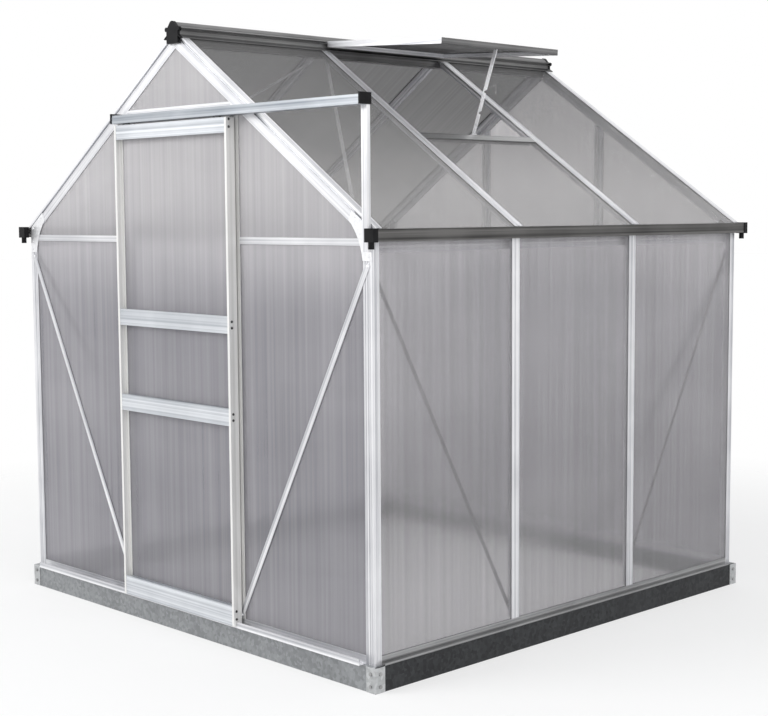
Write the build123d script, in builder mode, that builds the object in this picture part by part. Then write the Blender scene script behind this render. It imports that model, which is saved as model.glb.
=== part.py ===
from build123d import *
import os
from math import atan2, cos, degrees, hypot, radians, sin, tan

# Greenhouse with a sliding door and a roof vent, in millimetres.
# Origin: middle of the base's footprint, on the ground. +Z is up and the door faces -Y.

# Ground plan
base_width = 1900.0
base_depth = 1890.0
frame_inset = 18.0  # from the base's outer face to the frame's outer face
bay_width = 606.0  # spacing of the two middle uprights in each wall

# Heights
base_height = 77.0
eave_height = 1328.0  # top of the wall uprights
roof_pitch = 34.2
transom_drop = 2.0  # below the top of the uprights
door_head_rise = 424.0  # above the top of the uprights

# Sheets and their slots
panel_thick = 4.0
panel_clear = 0.3  # beside each face of a sheet
edge_clear = 0.5  # between a sheet's edge and the bottom of its slot

# Extrusions
wall = 2.0
flute_width = 5.0
flute_depth = 1.2
stud_face = 36.0
stud_core = 14.0
stud_depth = 26.0
post_face = 40.0
post_side_face = 26.0
post_side_core = 20.0
rafter_face = 48.0
rafter_rib = 8.0  # outer rib, beside the groove along a gable rafter
rafter_groove = 8.0
rafter_groove_depth = 6.0
transom_face = 22.0
transom_core = 8.0
transom_depth = 20.0
reveal = 18.0  # from a door post's middle to the doorway
mitre_gap = 0.2

# Sills
sill_height = 26.0
sill_ledge = 14.0
sill_foot = 20.0
drip_height = 6.0
fin_height = 18.0

# Base
base_steel = 2.0
base_top_flange = 40.0
base_bottom_flange = 30.0
bracket_leg = 40.0
bolt_shank = 6.0
bolt_head = 10.0  # across the flats
bolt_head_high = 4.0
nut_high = 5.0
bolt_tail = 1.5
hole_clear = 0.4  # on the diameter
thread_clear = 0.1

# Gutters
gutter_height = 36.0
gutter_reach = 34.0
gutter_lip = 8.0
gutter_past_frame = 11.0
eave_leg = 34.0
roof_overhang = 12.0
rest_clear = 0.3
cap_length = 20.0
cap_wall = 2.0
spout_radius = 9.0
spout_drop = 22.0

# Ridge
spine_half = 22.0
spine_drop = 50.0
ridge_past_frame = 3.0
flap_reach = 42.0
flap_thick = 2.5
flap_clear = 0.5
ridge_wall = 3.0
crown_high = 26.5
crown_round = 14.0
ridge_cap_thick = 10.0
ridge_cap_lip = 2.5
ridge_cap_drop = 44.0  # below the ridge line

# Vent
vent_open = 30.7
hinge_out = 20.0  # above the outer face of the roof bars
hinge_down = 25.0  # down the slope from the ridge line
bead_radius = 4.0
bead_clear = 0.1
socket_wall = 2.1
neck_thick = 2.4
swing_spare = 5.0
sash_length = 572.0
sash_start = 12.0
sash_lap = -6.0  # past the middle of the roof bars
sash_skirt = 16.0
sash_grip = 14.0
sash_sill_flange = 44.0
vent_sill_at = 590.0
vent_sill_face = 32.0
lug_at = 545.0
lug_drop = 12.0
lug_width = 20.0
lug_thick = 3.0
pin_radius = 3.0
pin_clear = 0.05
stay_width = 14.0
stay_thick = 3.0
stay_side_clear = 0.5
stay_tail = 14.0
peg_up_slope = 16.0
peg_depth = 7.0
notch_clear = 0.4

# Braces, gussets and rivets
brace_width = 20.0
brace_thick = 1.5
inner_brace_width = 13.0
gusset_thick = 2.0
gusset_drop = 56.0
gusset_rivet_low = 14.0
gusset_rivet_high = 40.0
gusset_along = 104.0
gusset_edge = 13.0  # below the roof's outer face
gable_brace_drop = 72.0
gable_brace_rise = 38.0
gable_brace_top_in = 9.0  # from the middle of the post's core
gable_brace_foot_out = 3.0  # from the middle of the door post
side_brace_drop = 66.0
side_brace_rise = 53.0
roof_brace_top = 70.0
roof_brace_up = 101.0
rivet_head = 10.0
rivet_head_high = 1.8
rivet_shank = 4.8
rivet_reach = 7.0

# Door
door_width = 620.0
door_depth = 32.0
door_gap = 6.0  # from the frame's face to the door's back
door_lift = 6.0
door_drop = 6.0  # below the track
stile_face = 10.0
pane_slot_at = 22.0
pane_grip = 10.0
rail_half = 28.0
rail_core_half = 16.0
rail_set_back = 1.0
upper_rail_rise = 982.0  # above the base
lower_rail_rise = 686.0
top_rail_height = 48.0
top_rail_core = 36.0
bottom_rail_height = 66.0
bottom_channel = 16.0
port_radius = 4.2
port_inset = 6.0
screw_shank = 4.0
screw_head = 9.0
screw_head_high = 2.0
screw_length = 24.0
glide_length = 30.0
glide_at = 250.0
fin_clear = 0.5

# Door track
track_height = 28.0
track_rise = 390.0  # above the top of the uprights
track_back_lip = 4.0
track_past_door = 4.0
track_short = 6.0
track_cap = 6.0
track_slot = 6.0
strut_width = 36.0
strut_thick = 2.0
strut_side = 14.0
strut_drop = 30.0
hanger_at = 250.0
hanger_thick = 2.5
hanger_width = 26.0
hanger_foot_length = 44.0
hanger_foot_depth = 14.0
roller_radius = 9.0
roller_width = 8.0
roller_side_clear = 0.4
axle_radius = 3.0
axle_clear = 0.05

# Worked out from the sizes above
half_x = base_width / 2 - frame_inset
half_y = base_depth / 2 - frame_inset
half_bay = bay_width / 2
slot_width = panel_thick + 2 * panel_clear
slot_in = wall + slot_width
flange_in = slot_in + wall
sheet_in = wall + panel_clear  # outer face of a sheet, from the frame's outer face
post_core = stud_depth
rafter_core = stud_depth
pitch = radians(roof_pitch)
roof_apex = eave_height + gutter_height + tan(pitch) * (half_x + frame_inset)
roof_end = half_x + roof_overhang
sill_top = base_height + sill_height
transom_level = eave_height - transom_drop
door_head_level = eave_height + door_head_rise
track_level = eave_height + track_rise
track_left = -door_width / 2 - track_past_door
track_right = half_x - track_short
strut_foot = eave_height - strut_drop
door_bottom = base_height + door_lift
door_top = track_level - door_drop
upper_rail_level = base_height + upper_rail_rise
lower_rail_level = base_height + lower_rail_rise
gusset_low = eave_height - gusset_drop
gable_brace_high = eave_height - gable_brace_drop
gable_brace_low = base_height + gable_brace_rise
side_brace_high = eave_height - side_brace_drop
side_brace_low = base_height + side_brace_rise
roof_brace_foot = roof_end / cos(pitch) - roof_brace_up
sheet_foot = base_height + wall + edge_clear
stud_slot = stud_core / 2 + edge_clear
door_front = half_y + door_gap + door_depth
track_depth = 2 * door_gap + door_depth
door_middle = half_y + door_gap + door_depth / 2
fin_at = door_front - (rail_set_back + wall + pane_slot_at - 2 * wall) / 2
post_line = half_x - post_core / 2
inner_line = half_y - flange_in - inner_brace_width / 2 - rest_clear


def roof_z(x, depth=0.0):
    return roof_apex - abs(x) * tan(pitch) - depth / cos(pitch)


def on_slope(along, depth):
    x = along * cos(pitch) - depth * sin(pitch)
    z = roof_apex - along * sin(pitch) - depth * cos(pitch)
    return x, z


hinge_x, hinge_z = on_slope(hinge_down, -hinge_out)
hinge_rise = hinge_z - roof_apex
sash_tilt = radians(vent_open - roof_pitch)
sash_half = half_bay + sash_lap
sash_along = Vector(cos(sash_tilt), 0, sin(sash_tilt))
sash_up = Vector(-sin(sash_tilt), 0, cos(sash_tilt))
across = Vector(0, 1, 0)
hinge_point = Vector(hinge_x, 0, hinge_z)
stay_top = hinge_point + sash_along * lug_at - sash_up * lug_drop
peg_x, peg_z = on_slope(vent_sill_at - peg_up_slope, peg_depth)
stay_length = hypot(stay_top.X - peg_x, stay_top.Z - peg_z)
stay_angle = degrees(atan2(peg_z - stay_top.Z, peg_x - stay_top.X))

inward = {"front": (0, 1, 0), "right": (-1, 0, 0), "rear": (0, -1, 0), "left": (1, 0, 0)}
along_wall = {"front": (1, 0, 0), "right": (0, 1, 0), "rear": (-1, 0, 0), "left": (0, -1, 0)}
wall_half = {"front": half_y, "right": half_x, "rear": half_y, "left": half_x}

front_face = Plane(origin=(0, -half_y, 0), x_dir=(1, 0, 0), z_dir=(0, -1, 0))
rear_face = Plane(origin=(0, half_y, 0), x_dir=(-1, 0, 0), z_dir=(0, 1, 0))


def wall_origin(side, along, height, out=0.0):
    # A point on a wall's outer face, along the wall from its middle
    place = Vector(inward[side]) * -(wall_half[side] + out) + Vector(along_wall[side]) * along
    return place + Vector(0, 0, height)


def upright_plane(side, along, height):
    # Level plane: x runs along the wall, y points into the greenhouse
    return Plane(origin=wall_origin(side, along, height), x_dir=along_wall[side], z_dir=(0, 0, 1))


def level_plane(side, along, height, out=0.0):
    # Upright plane across a wall: x points into the greenhouse, y is up
    return Plane(
        origin=wall_origin(side, along, height, out), x_dir=inward[side], z_dir=along_wall[side]
    )


def slope_plane(sign, depth=0.0):
    # x runs down the slope from the ridge line, z points out of the roof
    outward = Vector(sign * sin(pitch), 0, cos(pitch))
    return Plane(
        origin=Vector(0, 0, roof_apex) - outward * depth,
        x_dir=(sign * cos(pitch), 0, -sin(pitch)),
        z_dir=outward,
    )


def gable_plane(y):
    # Upright plane across the ridge: x as in the part, y up from the ridge line
    return Plane(origin=(0, y, roof_apex), x_dir=(1, 0, 0), z_dir=(0, -1, 0))


def strip(x0, x1, y0, y1, mode=Mode.ADD):
    with Locations(((x0 + x1) / 2, (y0 + y1) / 2)):
        Rectangle(x1 - x0, y1 - y0, mode=mode)


def bar_profile(face, core, depth):
    # Glazing bar: outer cap, hollow core, and inner flanges that make a slot on each side
    strip(-face / 2, face / 2, 0, wall)
    strip(-face / 2, face / 2, slot_in, flange_in)
    strip(-core / 2, core / 2, 0, depth)
    strip(-core / 2 + wall, core / 2 - wall, wall, depth - wall, Mode.SUBTRACT)
    for side in (-1, 1):
        middle = side * (face + core) / 5
        strip(middle - flute_width / 2, middle + flute_width / 2, 0, flute_depth, Mode.SUBTRACT)


def corner_profile(core_x, face_x, core_y, face_y):
    # Corner bar: hollow core at the outer corner, with a slot along each of the two faces
    strip(0, core_x, 0, core_y)
    strip(wall, core_x - wall, wall, core_y - wall, Mode.SUBTRACT)
    strip(core_x, face_x, 0, wall)
    strip(core_x, face_x, slot_in, flange_in)
    strip(0, wall, core_y, face_y)
    strip(slot_in, flange_in, core_y, face_y)


def post_flutes(face, along_x):
    for share in (1, 2, 3):
        low = face * share / 4 - flute_width / 2
        if along_x:
            strip(low, low + flute_width, 0, flute_depth, Mode.SUBTRACT)
        else:
            strip(0, flute_depth, low, low + flute_width, Mode.SUBTRACT)


def drill(plane, points, depth, diameter):
    with BuildSketch(plane) as holes:
        with Locations(*points):
            Circle(diameter / 2)
    extrude(holes.sketch, amount=-depth, mode=Mode.SUBTRACT)


def drill_rivets(plane, points):
    drill(plane, points, rivet_reach + 1, rivet_shank + hole_clear)


def add_rivets(plane, points):
    with BuildSketch(plane) as heads:
        with Locations(*points):
            Circle(rivet_head / 2)
    extrude(heads.sketch, amount=rivet_head_high, taper=30)
    with BuildSketch(plane) as shanks:
        with Locations(*points):
            Circle(rivet_shank / 2)
    extrude(shanks.sketch, amount=-rivet_reach)


def mitre(corner, end, inside):
    split(bisect_by=Plane(origin=corner, z_dir=Vector(end) + Vector(inside)), keep=Keep.BOTTOM)


# Base: mitred channel rails, corner brackets outside them, bolts and nuts
rail_x = base_width / 2 - base_steel
rail_y = base_depth / 2 - base_steel
bolt_rows = (base_height / 4, base_height * 3 / 4)
front_bolts = [(base_width / 2 - bracket_leg / 2, z) for z in bolt_rows]
side_bolts = [(-base_depth / 2 + bracket_leg / 2, z) for z in bolt_rows]
base_front = Plane(origin=(0, -base_depth / 2, 0), x_dir=(1, 0, 0), z_dir=(0, -1, 0))
base_right = Plane(origin=(base_width / 2, 0, 0), x_dir=(0, 1, 0), z_dir=(1, 0, 0))


def channel_profile():
    strip(0, base_steel, 0, base_height)
    strip(0, base_top_flange, base_height - base_steel, base_height)
    strip(0, base_bottom_flange, 0, base_steel)


with BuildPart() as base_rails_end:
    with BuildSketch(Plane(origin=(-rail_x, -rail_y, 0), x_dir=(0, 1, 0), z_dir=(1, 0, 0))):
        channel_profile()
    extrude(amount=2 * rail_x)
    mitre((rail_x, -rail_y, 0), (1, 0, 0), (0, 1, 0))
    mitre((-rail_x, -rail_y, 0), (-1, 0, 0), (0, 1, 0))
    both_ends = front_bolts + [(-x, z) for x, z in front_bolts]
    drill(base_front, both_ends, 3 * base_steel, bolt_shank + hole_clear)
    mirror(about=Plane.XZ)

with BuildPart() as base_rails_side:
    with BuildSketch(Plane(origin=(rail_x, -rail_y, 0), x_dir=(-1, 0, 0), z_dir=(0, 1, 0))):
        channel_profile()
    extrude(amount=2 * rail_y)
    mitre((rail_x, rail_y, 0), (0, 1, 0), (-1, 0, 0))
    mitre((rail_x, -rail_y, 0), (0, -1, 0), (-1, 0, 0))
    both_ends = side_bolts + [(-y, z) for y, z in side_bolts]
    drill(base_right, both_ends, 3 * base_steel, bolt_shank + hole_clear)
    mirror(about=Plane.YZ)

with BuildPart() as base_corner_brackets:
    with BuildSketch(Plane(origin=(base_width / 2, -base_depth / 2, 0), x_dir=(0, 1, 0), z_dir=(0, 0, 1))):
        strip(0, bracket_leg, 0, base_steel)
        strip(0, base_steel, 0, bracket_leg)
    extrude(amount=base_height)
    drill(base_front, front_bolts, 3 * base_steel, bolt_shank + hole_clear)
    drill(base_right, side_bolts, 3 * base_steel, bolt_shank + hole_clear)
    mirror(about=Plane.YZ)
    mirror(about=Plane.XZ)


def add_bolts(plane, points):
    grip = 2 * base_steel
    with BuildSketch(plane) as heads:
        with Locations(*points):
            RegularPolygon(bolt_head / 2, 6, major_radius=False)
    extrude(heads.sketch, amount=bolt_head_high)
    with BuildSketch(plane) as shanks:
        with Locations(*points):
            Circle(bolt_shank / 2)
    extrude(shanks.sketch, amount=-(grip + nut_high + bolt_tail))
    with BuildSketch(plane.offset(-grip)) as nuts:
        with Locations(*points):
            RegularPolygon(bolt_head / 2, 6, major_radius=False)
            Circle(bolt_shank / 2 + thread_clear, mode=Mode.SUBTRACT)
    extrude(nuts.sketch, amount=-nut_high)


with BuildPart() as base_bolts:
    add_bolts(base_front, front_bolts)
    add_bolts(base_right, side_bolts)
    mirror(about=Plane.YZ)
    mirror(about=Plane.XZ)

# Sills between the corner posts
front_span = half_x - post_face
side_span = half_y - post_side_face


def sill_profile(ledge):
    strip(-ledge, sill_foot, 0, wall)
    strip(0, wall, 0, sill_height)
    strip(slot_in, flange_in, 0, sill_height)


with BuildPart() as sill_front:
    with BuildSketch(level_plane("front", -front_span, base_height)):
        sill_profile(fin_at - half_y + wall)
        strip(half_y - fin_at - wall / 2, half_y - fin_at + wall / 2, 0, wall + fin_height)
    extrude(amount=2 * front_span)

with BuildPart() as sill_rear:
    with BuildSketch(level_plane("rear", -front_span, base_height)):
        sill_profile(sill_ledge)
        strip(-sill_ledge, wall - sill_ledge, 0, drip_height)
    extrude(amount=2 * front_span)

with BuildPart() as side_sills:
    with BuildSketch(level_plane("right", -side_span, base_height)):
        sill_profile(sill_ledge)
        strip(-sill_ledge, wall - sill_ledge, 0, drip_height)
    extrude(amount=2 * side_span)
    mirror(about=Plane.YZ)

# Rivet places on the gables, the side walls and the roof, on the right-hand front corner
gusset_end = post_line - gusset_along * cos(pitch)
gusset_post_rivets = [(post_line, gusset_low + rise) for rise in (gusset_rivet_low, gusset_rivet_high)]
rivet_line = rafter_core - rivet_head / 2  # below the roof's outer face
gusset_rafter_rivets = [
    (post_line, roof_z(post_line, rivet_line)),
    (gusset_end + 26, roof_z(gusset_end + 26, rivet_line)),
]
brace_top_rivet = (post_line - gable_brace_top_in, gable_brace_high)
brace_foot_rivet = (half_bay + gable_brace_foot_out, gable_brace_low)
track_rivet = (half_bay - reveal / 3, track_level + track_height / 2)
wall_inside = Plane(origin=(half_x - stud_depth, 0, 0), x_dir=(0, -1, 0), z_dir=(-1, 0, 0))
roof_under = slope_plane(1, stud_depth)
roof_inside = Plane(origin=roof_under.origin, x_dir=roof_under.x_dir, z_dir=-roof_under.z_dir)

# Corner posts
with BuildPart() as corner_posts_front:
    corner = Plane(origin=(half_x, -half_y, base_height), x_dir=(0, 1, 0), z_dir=(0, 0, 1))
    with BuildSketch(corner):
        corner_profile(post_side_core, post_side_face, post_core, post_face)
        post_flutes(post_side_face, True)
        post_flutes(post_face, False)
    extrude(amount=eave_height - base_height)
    drill_rivets(front_face, gusset_post_rivets + [brace_top_rivet])
    drill_rivets(wall_inside, [(inner_line, side_brace_high)])
    mirror(about=Plane.YZ)

with BuildPart() as corner_posts_rear:
    mirror(corner_posts_front.part, about=Plane.XZ)

# Studs of the side walls
with BuildPart() as side_studs_right:
    with BuildSketch(upright_plane("right", half_bay, sill_top)):
        bar_profile(stud_face, stud_core, stud_depth)
    extrude(amount=eave_height - sill_top)
    drill_rivets(wall_inside, [(-half_bay, side_brace_low)])
    mirror(about=Plane.XZ)

with BuildPart() as side_studs_left:
    mirror(side_studs_right.part, about=Plane.YZ)

# Door posts and rear studs, cut along the lower edge of the gable rafters
with BuildPart() as door_post_right:
    with BuildSketch(upright_plane("front", half_bay, sill_top)):
        bar_profile(stud_face, stud_core, stud_depth)
        strip(-reveal, 0, 0, stud_depth)
        strip(wall - reveal, stud_core / 2 - wall, wall, stud_depth - wall, Mode.SUBTRACT)
    extrude(amount=roof_apex - sill_top)
    split(bisect_by=slope_plane(1, rafter_face), keep=Keep.BOTTOM)
    drill_rivets(front_face, [brace_foot_rivet, track_rivet])

with BuildPart() as door_post_left:
    mirror(door_post_right.part, about=Plane.YZ)

with BuildPart() as rear_studs:
    with BuildSketch(upright_plane("rear", half_bay, sill_top)):
        bar_profile(stud_face, stud_core, stud_depth)
    extrude(amount=roof_apex - sill_top)
    split(bisect_by=slope_plane(-1, rafter_face), keep=Keep.BOTTOM)
    drill_rivets(rear_face, [brace_foot_rivet])
    mirror(about=Plane.YZ)

# Transoms and the rail over the door
transom_span = front_span - half_bay - stud_face / 2
stud_gap = half_bay - stud_face / 2


def transom_profile():
    strip(0, wall, -transom_face / 2, transom_face / 2)
    strip(slot_in, flange_in, -transom_face / 2, transom_face / 2)
    strip(0, transom_depth, -transom_core / 2, transom_core / 2)


with BuildPart() as front_transoms:
    with BuildSketch(level_plane("front", half_bay + stud_face / 2, transom_level)):
        transom_profile()
    extrude(amount=transom_span)
    mirror(about=Plane.YZ)

with BuildPart() as rear_transoms:
    with BuildSketch(level_plane("rear", half_bay + stud_face / 2, transom_level)):
        transom_profile()
    extrude(amount=transom_span)
    mirror(about=Plane.YZ)
    with BuildSketch(level_plane("rear", -stud_gap, transom_level)) as middle_transom:
        transom_profile()
    extrude(middle_transom.sketch, amount=2 * stud_gap)

with BuildPart() as door_head_rail:
    with BuildSketch(level_plane("front", reveal - half_bay, door_head_level)):
        transom_profile()
    extrude(amount=2 * (half_bay - reveal))
    for sign in (-1, 1):
        split(bisect_by=slope_plane(sign, rafter_face), keep=Keep.BOTTOM)

# Gable rafters, mitred at the ridge
with BuildPart() as gable_rafter:
    rafter_down = Vector(cos(pitch), 0, -sin(pitch))
    rafter_in = Vector(-sin(pitch), 0, -cos(pitch))
    rafter_start = Plane(origin=(0, -half_y, roof_apex), x_dir=rafter_in, z_dir=rafter_down)
    with BuildSketch(rafter_start) as rafter_section:
        corner_profile(rafter_core, rafter_face, post_side_core, post_side_face)
        groove_end = rafter_rib + rafter_groove
        strip(rafter_rib - wall, groove_end + wall, 0, rafter_groove_depth + wall)
        strip(rafter_rib, groove_end, 0, rafter_groove_depth, Mode.SUBTRACT)
    extrude(rafter_section.sketch, amount=roof_end / cos(pitch) + rafter_face)
    extrude(rafter_section.sketch, amount=-rafter_face)
    with BuildSketch(slope_plane(1, rafter_core)) as eave_notch:
        strip(front_span / cos(pitch), 2 * roof_end, -half_y, half_y)
    extrude(eave_notch.sketch, amount=-rafter_face, mode=Mode.SUBTRACT)
    split(bisect_by=Plane.YZ.offset(mitre_gap / 2), keep=Keep.TOP)
    split(bisect_by=Plane.YZ.offset(roof_end), keep=Keep.BOTTOM)
    drill_rivets(front_face, gusset_rafter_rivets)

with BuildPart() as rafters_front:
    add(gable_rafter.part)
    drill_rivets(roof_inside, [(roof_brace_foot, inner_line)])
    mirror(about=Plane.YZ)

with BuildPart() as rafters_rear:
    mirror(gable_rafter.part, about=Plane.XZ)
    mirror(about=Plane.YZ)

# Roof bars, from the ridge spine to the gutter
with BuildPart() as roof_bars_right:
    for y in (-half_bay, half_bay):
        section = Plane(origin=(0, y, roof_apex), x_dir=(0, -1, 0), z_dir=rafter_down)
        with BuildSketch(section):
            bar_profile(stud_face, stud_core, stud_depth)
        extrude(amount=roof_end / cos(pitch) + stud_depth)
    split(bisect_by=Plane.YZ.offset(spine_half), keep=Keep.TOP)
    split(bisect_by=Plane.YZ.offset(roof_end), keep=Keep.BOTTOM)
    drill_rivets(roof_inside, [(roof_brace_top, half_bay)])

with BuildPart() as roof_bars_left:
    mirror(roof_bars_right.part, about=Plane.YZ)

# Ridge bar: crown, flaps over the roof bars, a hinge groove on each side and a spine below
flap_base = flap_clear / cos(pitch)
flap_rise = flap_thick / cos(pitch)
crown_half = hinge_x - bead_radius
socket_radius = bead_radius + bead_clear
ridge_half = half_y + ridge_past_frame
spine_end = half_y - post_side_face
mouth_low = -roof_pitch - degrees(neck_thick / 2 / socket_radius) - swing_spare
mouth_high = degrees(sash_tilt) + degrees(neck_thick / 2 / socket_radius) + swing_spare


def flap_line(x, rise=0.0):
    return flap_base + rise - abs(x) * tan(pitch)


def crown_outline(lip=0.0):
    with BuildLine() as outline:
        shoulder = (crown_half + lip, hinge_rise)
        turn = (crown_round, crown_high - (crown_high - hinge_rise) / 3 + lip)
        Polyline((0, flap_line(0)), (crown_half + lip, flap_line(crown_half + lip)), shoulder, turn)
        ThreePointArc(turn, (0, crown_high + lip), (-turn[0], turn[1]))
        Polyline(
            (-turn[0], turn[1]),
            (-shoulder[0], shoulder[1]),
            (-crown_half - lip, flap_line(crown_half + lip)),
            (0, flap_line(0)),
        )
    make_face(outline.edges())


def flap_outline(side, reach):
    points = [
        (side * spine_half, flap_line(spine_half)),
        (side * reach, flap_line(reach)),
        (side * reach, flap_line(reach, flap_rise)),
        (side * spine_half, flap_line(spine_half, flap_rise)),
    ]
    Polygon(*(points if side < 0 else points[::-1]), align=None)


with BuildPart() as ridge_bar:
    with BuildSketch(gable_plane(ridge_half)) as crown:
        crown_outline()
        offset(amount=-ridge_wall, mode=Mode.SUBTRACT)
        for side in (-1, 1):
            flap_outline(side, flap_reach)
            with Locations((side * hinge_x, hinge_rise)):
                Circle(socket_radius + socket_wall)
                Circle(socket_radius, mode=Mode.SUBTRACT)
            mouth = [(side * hinge_x, hinge_rise)]
            for angle in (mouth_low, (mouth_low + mouth_high) / 2, mouth_high):
                reach = 2 * (socket_radius + socket_wall)
                mouth.append(
                    (
                        side * (hinge_x + reach * cos(radians(angle))),
                        hinge_rise + reach * sin(radians(angle)),
                    )
                )
            Polygon(*mouth, align=None, mode=Mode.SUBTRACT)
    extrude(crown.sketch, amount=2 * ridge_half)
    with BuildSketch(gable_plane(spine_end)) as spine:
        with BuildLine():
            Polyline(
                (0, flap_line(0) + 1),
                (spine_half, flap_line(spine_half) + 1),
                (spine_half, -spine_drop),
                (-spine_half, -spine_drop),
                (-spine_half, flap_line(spine_half) + 1),
                (0, flap_line(0) + 1),
            )
        make_face()
        hollow_half = spine_half - wall
        strip(-hollow_half, hollow_half, wall - spine_drop, flap_line(spine_half) - wall, Mode.SUBTRACT)
    extrude(spine.sketch, amount=2 * spine_end)

with BuildPart() as ridge_end_caps:
    with BuildSketch(gable_plane(-ridge_half)):
        crown_outline(ridge_cap_lip)
        cap_half = crown_half + ridge_cap_lip
        strip(-cap_half, cap_half, -ridge_cap_drop, hinge_rise)
        for side in (-1, 1):
            flap_outline(side, flap_reach + ridge_cap_lip)
            with Locations((side * hinge_x, hinge_rise)):
                Circle(socket_radius + socket_wall + ridge_cap_lip / 2)
    extrude(amount=ridge_cap_thick)
    mirror(about=Plane.XZ)

# Gutters: a trough outside the wall, a plate over the studs and a leg behind them
gutter_half = half_y + gutter_past_frame
upstand = roof_z(half_x + wall, stud_depth) - rest_clear - eave_height

with BuildPart() as gutter_right:
    with BuildSketch(level_plane("right", -gutter_half, eave_height)) as trough:
        strip(-gutter_reach, 0, 0, wall)
        strip(-gutter_reach, wall - gutter_reach, 0, gutter_height)
        strip(-gutter_reach, gutter_lip - gutter_reach, gutter_height - wall, gutter_height)
        strip(-wall, 0, 0, upstand)
    extrude(trough.sketch, amount=2 * gutter_half)
    with BuildSketch(level_plane("right", -half_y, eave_height)) as plate:
        strip(-wall, stud_depth + wall, 0, wall)
    extrude(plate.sketch, amount=2 * half_y)
    with BuildSketch(level_plane("right", -side_span, eave_height)) as leg:
        strip(stud_depth, stud_depth + wall, -eave_leg, wall)
    extrude(leg.sketch, amount=2 * side_span)

with BuildPart() as gutter_left:
    mirror(gutter_right.part, about=Plane.YZ)

with BuildPart() as gutter_end_caps:
    cap_middle = gutter_reach / 2
    with BuildSketch(level_plane("right", -gutter_half, eave_height)) as cap_outer:
        strip(-gutter_reach - cap_wall, cap_wall, -cap_wall, gutter_height + cap_wall)
    extrude(cap_outer.sketch, amount=-cap_length)
    with BuildSketch(level_plane("right", -gutter_half, eave_height)) as cap_inner:
        strip(wall - gutter_reach, -wall, wall, gutter_height - wall)
    extrude(cap_inner.sketch, amount=cap_wall - cap_length, mode=Mode.SUBTRACT)
    spout_middle = (half_x + cap_middle, -gutter_half - cap_length / 2)
    with BuildSketch(Plane.XY.offset(eave_height)) as spout:
        with Locations(spout_middle):
            Circle(spout_radius)
    extrude(spout.sketch, amount=-spout_drop)
    with BuildSketch(Plane.XY.offset(eave_height + wall)) as bore:
        with Locations(spout_middle):
            Circle(spout_radius - cap_wall)
    extrude(bore.sketch, amount=-spout_drop - 2 * wall, mode=Mode.SUBTRACT)
    mirror(about=Plane.YZ)
    mirror(about=Plane.XZ)

# Vent sill with its slot for the short sheet below it, and the bracket with the stay's peg
bar_gap = half_bay - stud_face / 2


def slope_cross_plane(along, y):
    # Across the right-hand slope: x runs down the slope, y points out of the roof
    x, z = on_slope(along, 0.0)
    return Plane(origin=(x, y, z), x_dir=rafter_down, z_dir=(0, -1, 0))


with BuildPart() as vent_sill:
    with BuildSketch(slope_cross_plane(vent_sill_at, bar_gap)):
        strip(0, vent_sill_face, -wall, 0)
        strip(0, stud_core, -stud_depth, 0)
        strip(wall, stud_core - wall, wall - stud_depth, -wall, Mode.SUBTRACT)
        strip(stud_core, vent_sill_face - wall, -flange_in, -slot_in)
    extrude(amount=2 * bar_gap)

peg_plate_near = stay_thick / 2 + 3 * stay_side_clear

with BuildPart() as vent_peg_bracket:
    with BuildSketch(slope_cross_plane(vent_sill_at, peg_plate_near + lug_thick)) as plate:
        strip(-peg_up_slope - 2 * pin_radius, 0, -2 * peg_depth, -wall)
    extrude(plate.sketch, amount=lug_thick)
    peg_root = (peg_x, peg_plate_near, peg_z)
    with BuildSketch(Plane(origin=peg_root, x_dir=(1, 0, 0), z_dir=(0, -1, 0))) as peg:
        Circle(pin_radius)
    extrude(peg.sketch, amount=peg_plate_near + stay_thick)

# Braces: flat strips on the gables, inside the side walls and under the roof


def brace_strip(start, end, width):
    dx = end[0] - start[0]
    dy = end[1] - start[1]
    with Locations(((start[0] + end[0]) / 2, (start[1] + end[1]) / 2)):
        SlotCenterToCenter(hypot(dx, dy), width, rotation=degrees(atan2(dy, dx)))
    with Locations(start, end):
        Circle((rivet_shank + hole_clear) / 2, mode=Mode.SUBTRACT)


with BuildPart() as front_braces:
    with BuildSketch(front_face):
        brace_strip(brace_foot_rivet, brace_top_rivet, brace_width)
    extrude(amount=brace_thick)
    mirror(about=Plane.YZ)

with BuildPart() as rear_braces:
    mirror(front_braces.part, about=Plane.XZ)

side_brace_ends = ((half_bay, side_brace_low), (inner_line, side_brace_high))
with BuildPart() as side_braces:
    with BuildSketch(wall_inside):
        brace_strip(*side_brace_ends, inner_brace_width)
    extrude(amount=brace_thick)
    mirror(about=Plane.XZ)
    mirror(about=Plane.YZ)

roof_brace_ends = ((roof_brace_top, half_bay), (roof_brace_foot, inner_line))
with BuildPart() as roof_braces:
    with BuildSketch(roof_inside):
        brace_strip(*roof_brace_ends, inner_brace_width)
    extrude(amount=brace_thick)
    mirror(about=Plane.YZ)

# Gussets with a hollow-curved inner edge at the gable eaves
with BuildPart() as gussets:
    post_edge = half_x - post_face
    rafter_low = (gusset_end, roof_z(gusset_end, rafter_face - 4))
    bend = ((post_edge + gusset_end) / 2 + 14, (gusset_low + rafter_low[1]) / 2 - 4)
    with BuildSketch(front_face):
        with BuildLine():
            Polyline((half_x - 2, gusset_low), (post_edge, gusset_low))
            ThreePointArc((post_edge, gusset_low), bend, rafter_low)
            Polyline(
                rafter_low,
                (gusset_end + 14, roof_z(gusset_end + 14, gusset_edge)),
                (half_x - 2, roof_z(half_x - 2, gusset_edge)),
                (half_x - 2, gusset_low),
            )
        make_face()
    extrude(amount=gusset_thick)
    drill_rivets(front_face.offset(gusset_thick), gusset_post_rivets + gusset_rafter_rivets)
    mirror(about=Plane.YZ)
    mirror(about=Plane.XZ)

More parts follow.
